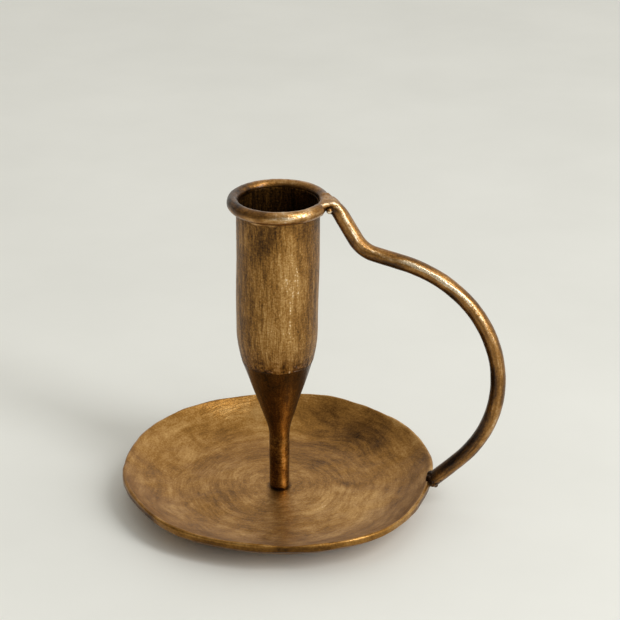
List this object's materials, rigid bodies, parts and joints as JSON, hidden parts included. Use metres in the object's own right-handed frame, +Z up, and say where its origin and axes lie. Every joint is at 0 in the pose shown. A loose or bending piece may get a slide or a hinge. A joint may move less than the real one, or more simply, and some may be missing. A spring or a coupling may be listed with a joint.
{
  "type": "candlestick",
  "caption": "Brass chamber candlestick: a tall tubular candle cup on a funnel and thin stem, standing in a hand-hammered drip plate, with a bent-rod carrying handle.",
  "frame": {"origin": "centre of the drip plate's flat underside, on the axis of the candle cup", "axes": "+Z up along the candle cup, out of its mouth; +X towards the carrying handle, which lies in the XZ plane"},
  "size_m": [0.1322, 0.1083, 0.1123],
  "materials": {
    "plate_brass": "antiqued brass sheet, dull, with concentric scratch-brush marks and darker blotches",
    "cup_brass": "antiqued brass tube, dull, with fine upright streaks and dark spots",
    "stem_brass": "antiqued brass, darker, with fine turning marks",
    "rod_brass": "antiqued brass rod, rubbed bright along the top",
    "braze": "rough copper-brown brazing with dark scale",
    "screw_steel": "plain machine screw"
  },
  "bodies": {
    "root": {"drip_plate": "plate_brass", "base_screw": "screw_steel", "stem_rod": "stem_brass", "cup_funnel": "stem_brass", "candle_cup": "cup_brass", "seam_braze": "braze", "rim_ring": "rod_brass", "rim_braze": "braze", "handle": "rod_brass", "handle_web": "rod_brass", "web_bead": "braze", "handle_weld": "braze"}
  },
  "joints": []
}
